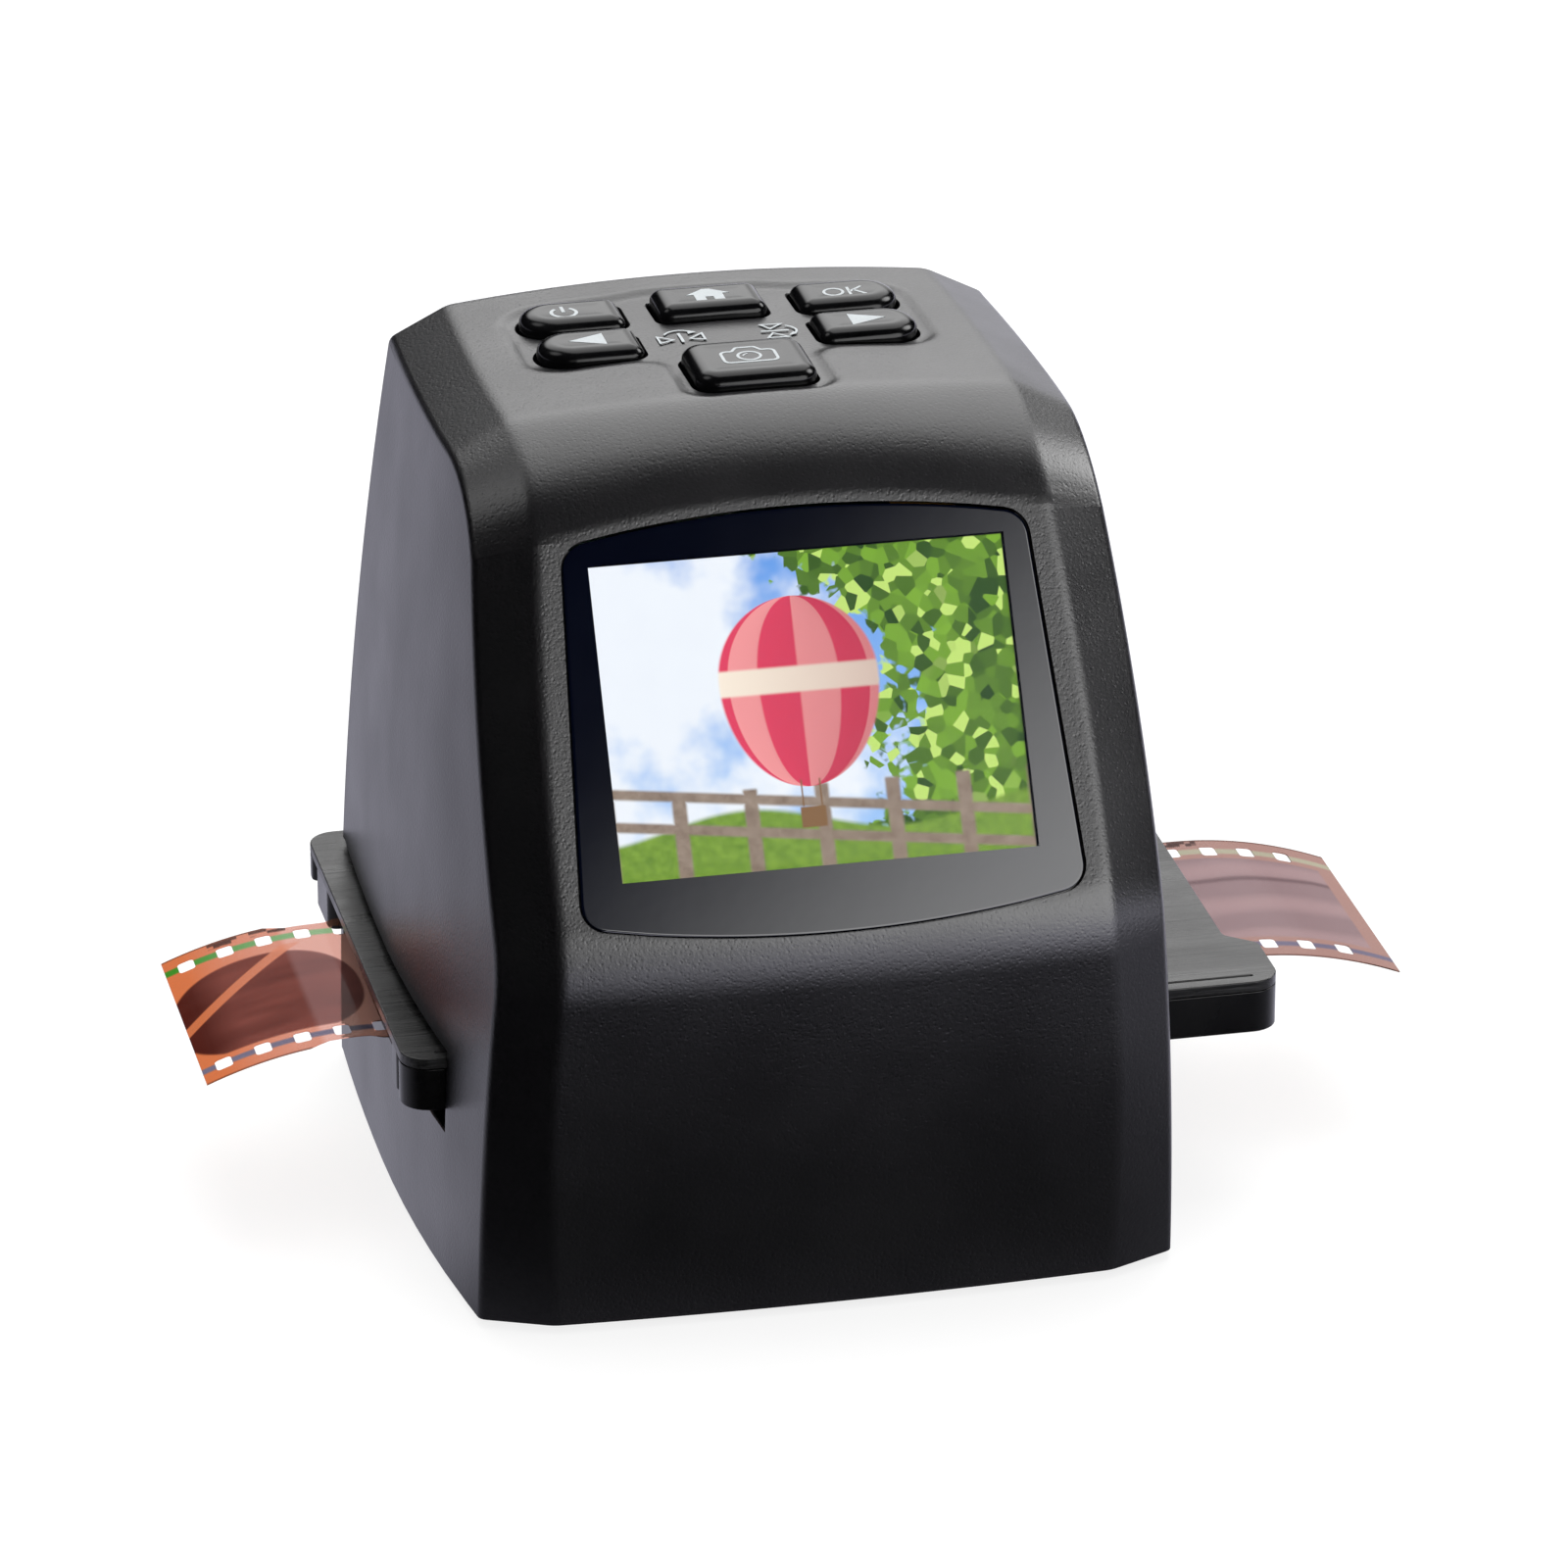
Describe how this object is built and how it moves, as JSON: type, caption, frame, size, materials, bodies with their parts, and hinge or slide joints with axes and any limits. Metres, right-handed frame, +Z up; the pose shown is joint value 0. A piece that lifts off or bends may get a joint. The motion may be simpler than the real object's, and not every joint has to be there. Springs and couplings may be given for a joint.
{
  "type": "film negative scanner",
  "caption": "Compact desktop scanner for 35 mm film: black tapered casing with a tilted screen and push buttons, and a film tray that slides through a slot in both sides.",
  "frame": {"origin": "centre of the base plate's underside; the rubber feet stand 1.2 mm below it", "axes": "+X to the right as the screen is seen, along the film and the tray; +Y to the back; +Z up"},
  "size_m": [0.1465, 0.0921, 0.1021],
  "materials": {
    "casing": "fine spark texture, matt black",
    "rubber": "matt",
    "steel": "zinc plated, dull",
    "window": "high gloss, tinted",
    "display": "smooth",
    "sheet_metal": "pressed sheet",
    "keys": "gloss black with light grey symbols",
    "board": "solder mask",
    "switches": "moulded",
    "chips": "moulded",
    "socket_metal": "stamped, tinned",
    "guide": "moulded",
    "white_plastic": "moulded white",
    "white_board": "white solder mask",
    "led": "clear yellow resin",
    "diffuser": "opal",
    "optics_black": "dull black against stray light",
    "lens_glass": "coated",
    "sensor": "cover glass over silicon",
    "ribbon": "amber film",
    "lead": "insulated wire",
    "tray": "fine brushed lines, satin black",
    "film": "orange masked negative, clear"
  },
  "bodies": {
    "casing": {"front_housing": "casing", "rear_cover": "casing", "base_plate": "casing", "rubber_feet": "rubber", "base_screws": "steel", "rear_screws": "steel", "screen_window": "window", "lcd_panel": "display", "lcd_frame": "sheet_metal", "lcd_screws": "steel", "button_board": "board", "tact_switches": "switches", "button_board_screws": "steel", "main_board": "board", "processor_chips": "chips", "usb_socket": "socket_metal", "sd_card_socket": "socket_metal", "tv_out_jack": "chips", "main_board_screws": "steel", "lower_guide": "guide", "upper_guide": "guide", "lower_guide_screws": "steel", "upper_guide_screws": "steel", "brake_spring": "steel", "light_box": "white_plastic", "led_board": "white_board", "leds": "led", "diffuser": "diffuser", "light_tunnel": "optics_black", "lens_holder": "optics_black", "lens_barrel": "optics_black", "lens_glass": "lens_glass", "sensor_board": "board", "image_sensor": "sensor", "screen_ribbon": "ribbon", "button_ribbon": "ribbon", "sensor_ribbon": "ribbon", "backlight_lead": "lead"},
    "power button": {"power_button": "keys"},
    "home button": {"home_button": "keys"},
    "ok button": {"ok_button": "keys"},
    "left button": {"left_button": "keys"},
    "right button": {"right_button": "keys"},
    "capture button": {"capture_button": "keys"},
    "tray": {"tray_frame": "tray", "tray_top_plate": "tray"},
    "film": {"film_strip": "film"}
  },
  "joints": [
    {"name": "power_press", "type": "slide", "parent": "casing", "child": "power button", "axis": [0, 0, -1], "range_m": [0, 0.0008], "stiffness_N_per_m": 400},
    {"name": "home_press", "type": "slide", "parent": "casing", "child": "home button", "axis": [0, 0, -1], "range_m": [0, 0.0008], "stiffness_N_per_m": 400},
    {"name": "ok_press", "type": "slide", "parent": "casing", "child": "ok button", "axis": [0, 0, -1], "range_m": [0, 0.0008], "stiffness_N_per_m": 400},
    {"name": "left_press", "type": "slide", "parent": "casing", "child": "left button", "axis": [0, 0, -1], "range_m": [0, 0.0008], "stiffness_N_per_m": 400},
    {"name": "right_press", "type": "slide", "parent": "casing", "child": "right button", "axis": [0, 0, -1], "range_m": [0, 0.0008], "stiffness_N_per_m": 400},
    {"name": "capture_press", "type": "slide", "parent": "casing", "child": "capture button", "axis": [0, 0, -1], "range_m": [0, 0.0008], "stiffness_N_per_m": 400},
    {"name": "tray_slide", "type": "slide", "parent": "casing", "child": "tray", "axis": [1, 0, 0], "range_m": [0, 0.09]},
    {"name": "film_feed", "type": "slide", "parent": "tray", "child": "film", "axis": [1, 0, 0], "range_m": [-0.038, 0.03]}
  ]
}
